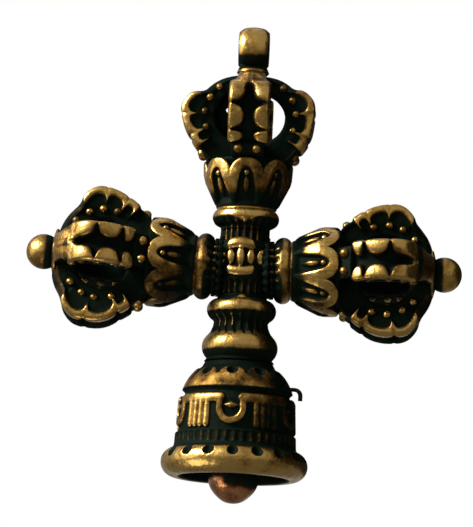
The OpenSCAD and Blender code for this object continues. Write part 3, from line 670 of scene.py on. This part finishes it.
def carveCrown(r, z, turn):
    # round pits under a scalloped edge: above the scallops the dome is cut back and black, below is a rubbed band,
    # darkened towards the right as painted shade
    s = crown
    up, out = s["mid"][1] - z, r - s["mid"][0]
    outer = (np.hypot(up, out) > s["domeR"] - 0.2) & (z < s["shoulderD"] + 0.01)
    lift = np.degrees(np.arctan2(up, out))
    t = inRepeat(turn, bellFront + np.radians(s["pitOff"]), s["pits"])
    across = t * 2 * np.pi / s["pits"] * np.maximum(r, 1)
    along = np.radians(lift - s["pitTurn"]) * s["domeR"]
    fromPit = np.hypot(across, along) / s["pitR"]
    pit = np.clip(1 - fromPit ** 2, 0, None)
    scallop = easeStep(1.1, 0.9, np.where(along > -0.45, np.hypot(across * 0.75, along + 0.45), 0))
    band = easeStep(s["shoulderTurn"] + 0.3, s["shoulderTurn"] + 2, lift)
    # painted shade: the band is darker towards the right side
    paintedShade = 0.5 * easeStep(0.45, 1.0, rightward(turn))
    wearAndShade = s["wearAndShade"] * scallop * easeStep(0.9, 1.1, fromPit) * band * (1 - paintedShade)
    return np.where(outer, -s["cutBack"] * (1 - scallop) - s["pitDeep"] * pit, 0), np.where(outer, wearAndShade, 0)


def crownOutline(s):  # collar, round dome down to the shoulder, then the spigot and back up inside
    topD, shoulderD, inR = s["topD"], s["shoulderD"] + 0.02, s["spigotR"] - s["spigotWall"]
    spigotR, spigotEnd = s["spigotR"] - 0.02, s["shoulderD"] + s["spigotLen"] - 0.05
    shoulderR = s["mid"][0] + s["domeR"] * np.cos(np.radians(s["shoulderTurn"]))
    return [(0, topD + 0.01), (s["collarR"] - 0.1, topD + 0.01), (s["collarR"], topD + 0.12),
            arcPoints(s["mid"], s["domeR"], -52, -s["shoulderTurn"], 40), (shoulderR - 0.1, shoulderD),
            (spigotR, shoulderD), (spigotR, spigotEnd), (inR, spigotEnd),
            arcPoints(s["mid"], s["domeR"] - s["wall"], -34, -58, 16), (0, topD + s["wall"])]


crownSkin = turnSkin(crownOutline(crown), crown["grid"], carveCrown)
addPiece("bellCrown", placeSkins([crownSkin], "bell"), dullBrass, ["bell_crown"])

# in the skirt, names that end in F are depths below its shoulder
skirt = {"shoulderD": 9.65, "topR": 5.35, "hipR": 5.78, "hipF": 1.0, "lowR": 6.02, "lowF": 5.3, "wall": 0.7,
         "lipR": 7.24, "lipTube": 1.43, "lipF": 7.1, "endF": 8.55, "mouthR": 5.2,
         "repeats": 5, "turnOff": 4.1, "friezeR": 5.9, "ground": 0.32, "ribbonHalf": 0.38, "flat": 0.18,
         "barF": 1.03, "barHalf": 0.55, "bowlF": 2.12, "bowlR": 1.24, "lozengeF": 1.85, "lozengeHalf": (1.1, 0.42),
         "legsAt": (0.34, 1.04), "legHalf": 0.37, "legEndF": 3.7, "ribs": 44, "ribF": (4.4, 5.4), "ribDeep": 0.14,
         "dimples": 18, "dimpleF": 6.38, "dimpleHalf": (0.57, 0.5), "dimpleDeep": 0.42, "grid": (224, 440)}


def carveSkirt(r, z, turn):
    # frieze: one ribbon runs as bar, arm, bowl, arm, bar, legs hang from each bar and a lozenge closes each bowl;
    # below it are ribs, then dimples on the lip
    s = skirt
    f = z - s["shoulderD"]
    wallR = np.interp(f, [0, s["hipF"], s["lowF"], 5.8, s["lipF"]], [s["topR"], s["hipR"], s["lowR"], 6.3, 7.2])
    outer = (r > wallR - 0.35) & (f < s["lipF"] + 0.02)
    period = 2 * np.pi / s["repeats"] * s["friezeR"]
    x = np.abs(inRepeat(turn, bellFront + np.radians(s["turnOff"]), s["repeats"])) * period
    past = np.clip(np.maximum(s["barF"] - f, f - s["bowlF"]), 0, None)
    arm = np.hypot(x - s["bowlR"], past)
    bowl = np.where(f > s["bowlF"], np.abs(np.hypot(x, f - s["bowlF"]) - s["bowlR"]), 9)
    bar = np.hypot(f - s["barF"], np.clip(s["bowlR"] - x, 0, None)) * s["ribbonHalf"] / s["barHalf"]
    ribbon = np.minimum(np.minimum(arm, bowl), bar)
    lozengeX, lozengeZ = s["lozengeHalf"]
    lozenge = 1 - np.clip(x / lozengeX + np.abs(f - s["lozengeF"]) / lozengeZ, 0, 1)
    strap = mound(np.clip(ribbon - s["flat"], 0, None), s["ribbonHalf"] - s["flat"])
    strap = np.maximum(strap, np.sqrt(lozenge))
    legPast = np.clip(np.maximum(s["barF"] - f, f - s["legEndF"]), 0, None)
    fromLeg = np.minimum(*(np.hypot(period / 2 - x - at, legPast) for at in s["legsAt"]))
    leg = mound(fromLeg, s["legHalf"])
    inFrieze = easeStep(0.02, 0.2, f) * (1 - easeStep(4.1, 4.3, f))
    ribLow, ribHigh = s["ribF"]
    inRibs = easeStep(ribLow - 0.1, ribLow + 0.1, f) * (1 - easeStep(ribHigh - 0.1, ribHigh + 0.1, f))
    rib = fluted(turn, s["ribs"])
    dimpleX, dimpleZ = s["dimpleHalf"]
    across = inRepeat(turn, bellFront, s["dimples"]) * 2 * np.pi / s["dimples"] * r
    fromDimple = np.hypot(across / dimpleX, (f - s["dimpleF"]) / dimpleZ)
    rise = inFrieze * s["ground"] * (np.maximum(strap, leg) - 1) - inRibs * s["ribDeep"] * (1 - rib)
    rise = rise - s["dimpleDeep"] * np.clip(1 - fromDimple ** 2, 0, None)
    toRight = rightward(turn)
    # painted shade: the straps, legs and upper lip are darker towards the bell's right side
    strapWearAndShade = 0.82 * easeStep(0.2, 0.65, strap) * (1 - 0.35 * easeStep(0.15, 0.85, toRight))
    legWearAndShade = easeStep(0.2, 0.65, leg) * (1 - 0.6 * easeStep(0.1, 0.6, toRight))
    ribWear = 0.5 * inRibs * easeStep(0.4, 0.8, rib)
    upperLip = 1 - easeStep(6.5, s["lipF"], f)
    lipWearAndShade = easeStep(5.8, 6.1, f) * easeStep(0.95, 1.12, fromDimple)
    lipWearAndShade = lipWearAndShade * (1 - 0.5 * easeStep(0.35, 0.9, toRight) * upperLip)
    wearAndShade = np.maximum.reduce([inFrieze * np.maximum(strapWearAndShade, legWearAndShade), ribWear, lipWearAndShade])
    wearAndShade = np.where(f > s["lipF"], 1, wearAndShade)
    return np.where(outer, rise, 0), np.where(outer | (f > s["lipF"]), wearAndShade, 0) * easeStep(5.35, 5.6, r)


def skirtOutline(s):  # closed ring: down the wall, round the lip and up inside to the crown's spigot
    top, inR, spigotR = s["shoulderD"], s["lowR"] - s["wall"], crown["spigotR"] + 0.05
    lipMid = (s["lipR"] - s["lipTube"], top + s["endF"] - s["lipTube"])
    return [(spigotR, top + 0.02), (s["topR"], top + 0.02), (s["hipR"], top + s["hipF"]),
            (s["lowR"], top + s["lowF"]), (s["lowR"] + 0.06, top + s["lowF"] + 0.3),
            arcPoints(lipMid, s["lipTube"], -72, 115.5, 40), (s["mouthR"], top + 5.85), (inR, top + 5.6),
            (inR, top + s["lowF"]), (s["hipR"] - s["wall"], top + 1.7), (spigotR, top + 0.8), (spigotR, top + 0.02)]


skirtSkin = turnSkin(skirtOutline(skirt), skirt["grid"], carveSkirt, ring=True)
addPiece("bellSkirt", placeSkins([skirtSkin], "bell"), agedBrass, ["bell_skirt"])

# clapper and its wire
clapper = {"d": 18.15, "r": 2.48, "darkTurn": 0.85, "drawn": 0.08, "grid": (90, 128)}
wire = {"d": 9.1, "r": 0.2, "endR": 0.22, "inEnd": 4.85, "bendAt": 5.6, "bendR": 0.6, "end": 0.48, "grid": (90, 16)}


def carveClapper(r, z, turn):
    # a ball drawn in a little above the point at its bottom, and darker towards its top under the lip and on one
    # side
    s = clapper
    low = (z - s["d"]) / s["r"]
    dark = easeStep(0.2, 0.8, np.cos(turn - s["darkTurn"])) * easeStep(0.6, 0.2, low)
    drawn = s["drawn"] * easeStep(0.2, 0.75, low) * (1 - easeStep(0.75, 1.0, low))
    return -drawn + 0 * turn, 0.95 - 0.5 * easeStep(0.1, -0.4, low) - 0.8 * dark


clapperSkin = turnSkin([arcPoints((0, clapper["d"]), clapper["r"], -90, 90, 60)], clapper["grid"], carveClapper)
addPiece("clapperBall", placeSkins([clapperSkin], "bell"), redBrass, ["clapper_ball"], "clapper")


def wireSkin(s):
    # round section carried along a straight, a quarter bend and a short end that is a little thicker
    rows, cols = s["grid"]
    bendEnd = s["bendAt"] + s["bendR"]
    path = evenly([(-s["inEnd"], 0), (s["bendAt"], 0), arcPoints((s["bendAt"], s["bendR"]), s["bendR"], -90, 0, 12),
                   (bendEnd, s["bendR"] + s["end"])], rows)
    slope = np.gradient(path, axis=0)
    slope = slope / np.hypot(*slope.T)[:, None]
    thick = s["r"] + (s["endR"] - s["r"]) * easeStep(s["bendAt"] + 0.3, bendEnd, path[:, :1])
    turn = np.linspace(0, 2 * np.pi, cols, endpoint=False)[None]
    aside = thick * np.cos(turn)
    points = np.stack([path[:, :1] - slope[:, 1:] * aside, thick * np.sin(turn),
                       s["d"] + path[:, 1:] + slope[:, :1] * aside], -1)
    return closeSkin(points, 0.2 + 0 * aside)


addPiece("clapperWire", placeSkins([wireSkin(wire)], "bell"), ironWire, ["clapper_wire"])

finishes = {"top_core": patinaBrass, "left_core": patinaBrass, "right_core": patinaBrass,
            "clapper_ring": ironWire, "clapper_stem": ironWire}
for node, material in finishes.items():
    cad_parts[node].data.materials.clear()
    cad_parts[node].data.materials.append(material)
print("finishes set on", len(finishes), "nodes")

# stage: floor, lamp, world, and flags with their place, size and glow
stage = {"floorZ": -100, "floorR": 300, "floorGrid": (12, 64), "keyAt": (-223, -81, 166), "keySize": 150,
         "keyWatts": 2.2, "ambient": 0.3}
flags = {"rightFlag": ((171, 120, 0), 800, 0.02), "lowFlag": ((0, -8, -37), 330, 0.2),
         "topFlag": ((70, -60, 260), 430, 0.5), "leftCard": ((-290, -60, -30), 220, 1.8),
         "lowCard": ((-19, -13, -32), 15, 3), "frontFlag": ((111, -415, -60), 950, 0.5),
         "backFlag": ((-104, 181, 0), 500, 0.3)}


def facing(spot, upright):  # right, up and away of something at spot that faces the hub
    away = np.array(spot) / np.linalg.norm(spot)
    right = np.cross(upright, away)
    right = right / np.linalg.norm(right)
    return right, np.cross(away, right), away


def addFloor(s):
    # flat disc: rings of growing radius round one axis
    rows, cols = s["floorGrid"]
    turns = np.linspace(0, 2 * np.pi, cols, endpoint=False)
    ring, turn = np.meshgrid(np.linspace(0.02, 1, rows), turns, indexing="ij")
    disc = np.stack([ring * np.cos(turn), ring * np.sin(turn), 0 * ring], -1)
    points = (disc * s["floorR"] + [0, 0, s["floorZ"]]) * mm
    ids = np.arange(ring.size).reshape(ring.shape)
    side = np.roll(ids, -1, axis=1)
    quads = np.stack([ids[:-1], ids[1:], side[1:], side[:-1]], -1).reshape(-1, 4)
    mesh = bpy.data.meshes.new("floor")
    mesh.from_pydata(points.reshape(-1, 3).tolist(), [], quads.tolist() + [ids[0].tolist()])
    material, _, shader = newMaterial("paleStudioCard")  # pale paper card, even and matt
    shader.inputs["Base Color"].default_value = srgb("#F1F0EC")
    shader.inputs["Roughness"].default_value = 0.9
    mesh.materials.append(material)
    floor = addObject("floor", mesh)


def addLamp(name, spot, size, watts):  # round soft lamp that faces the hub
    data = bpy.data.lights.new(name, "AREA")
    data.shape, data.size, data.energy = "DISK", size * mm, watts
    axes = np.stack(facing(spot, [0, 0, 1]), 1)
    lamp = addObject(name, data)
    lamp.matrix_world = Matrix.Translation((hubMiddle + spot) * mm) @ Matrix(axes.tolist()).to_4x4()


def addFlag(name, spot, size, glow):
    # dark or bright board that faces the hub and shows only in reflections, as round a shiny piece in a studio
    right, up, _ = facing(spot, [0, 0.1, 1])
    a, b = np.meshgrid([-size / 2, size / 2], [-size / 2, size / 2], indexing="ij")
    corners = hubMiddle + np.array(spot) + a.reshape(-1, 1) * right + b.reshape(-1, 1) * up
    mesh = bpy.data.meshes.new(name)
    mesh.from_pydata((corners * mm).tolist(), [], [(0, 2, 3, 1)])
    material, tree, _ = newMaterial(name)
    shade = addNode(tree, "ShaderNodeEmission", {"Color": (1, 1, 1, 1), "Strength": glow})
    tree.links.new(shade.outputs[0], tree.nodes["Material Output"].inputs["Surface"])
    mesh.materials.append(material)
    flag = addObject(name, mesh)
    flag.visible_camera = flag.visible_diffuse = flag.visible_shadow = flag.visible_transmission = False


def addWorld(ambient):
    # white to the camera and in reflections, softer as the light on the object
    world = bpy.data.worlds.new("studio")
    world.use_nodes = True
    tree = world.node_tree
    soft = tree.nodes["Background"]
    soft.inputs["Color"].default_value = (1, 1, 1, 1)
    soft.inputs["Strength"].default_value = ambient
    white = addNode(tree, "ShaderNodeBackground", {"Color": (1, 1, 1, 1), "Strength": 1})
    path = addNode(tree, "ShaderNodeLightPath", {}).outputs
    seen = addNode(tree, "ShaderNodeMath", {
        0: path["Is Camera Ray"], 1: path["Is Glossy Ray"]}, operation="ADD")
    shown = addNode(tree, "ShaderNodeMath", {
        0: seen.outputs[0], 1: path["Is Transmission Ray"]}, operation="ADD", use_clamp=True)
    mixed = addNode(tree, "ShaderNodeMixShader", {0: shown.outputs[0], 1: soft.outputs[0], 2: white.outputs[0]})
    tree.links.new(mixed.outputs[0], tree.nodes["World Output"].inputs["Surface"])
    bpy.context.scene.world = world


addFloor(stage)
addLamp("keyLamp", stage["keyAt"], stage["keySize"], stage["keyWatts"])
for name, (spot, size, glow) in flags.items():
    addFlag(name, spot, size, glow)
addWorld(stage["ambient"])
bpy.context.scene.view_settings.view_transform = "Standard"
print("stage set")
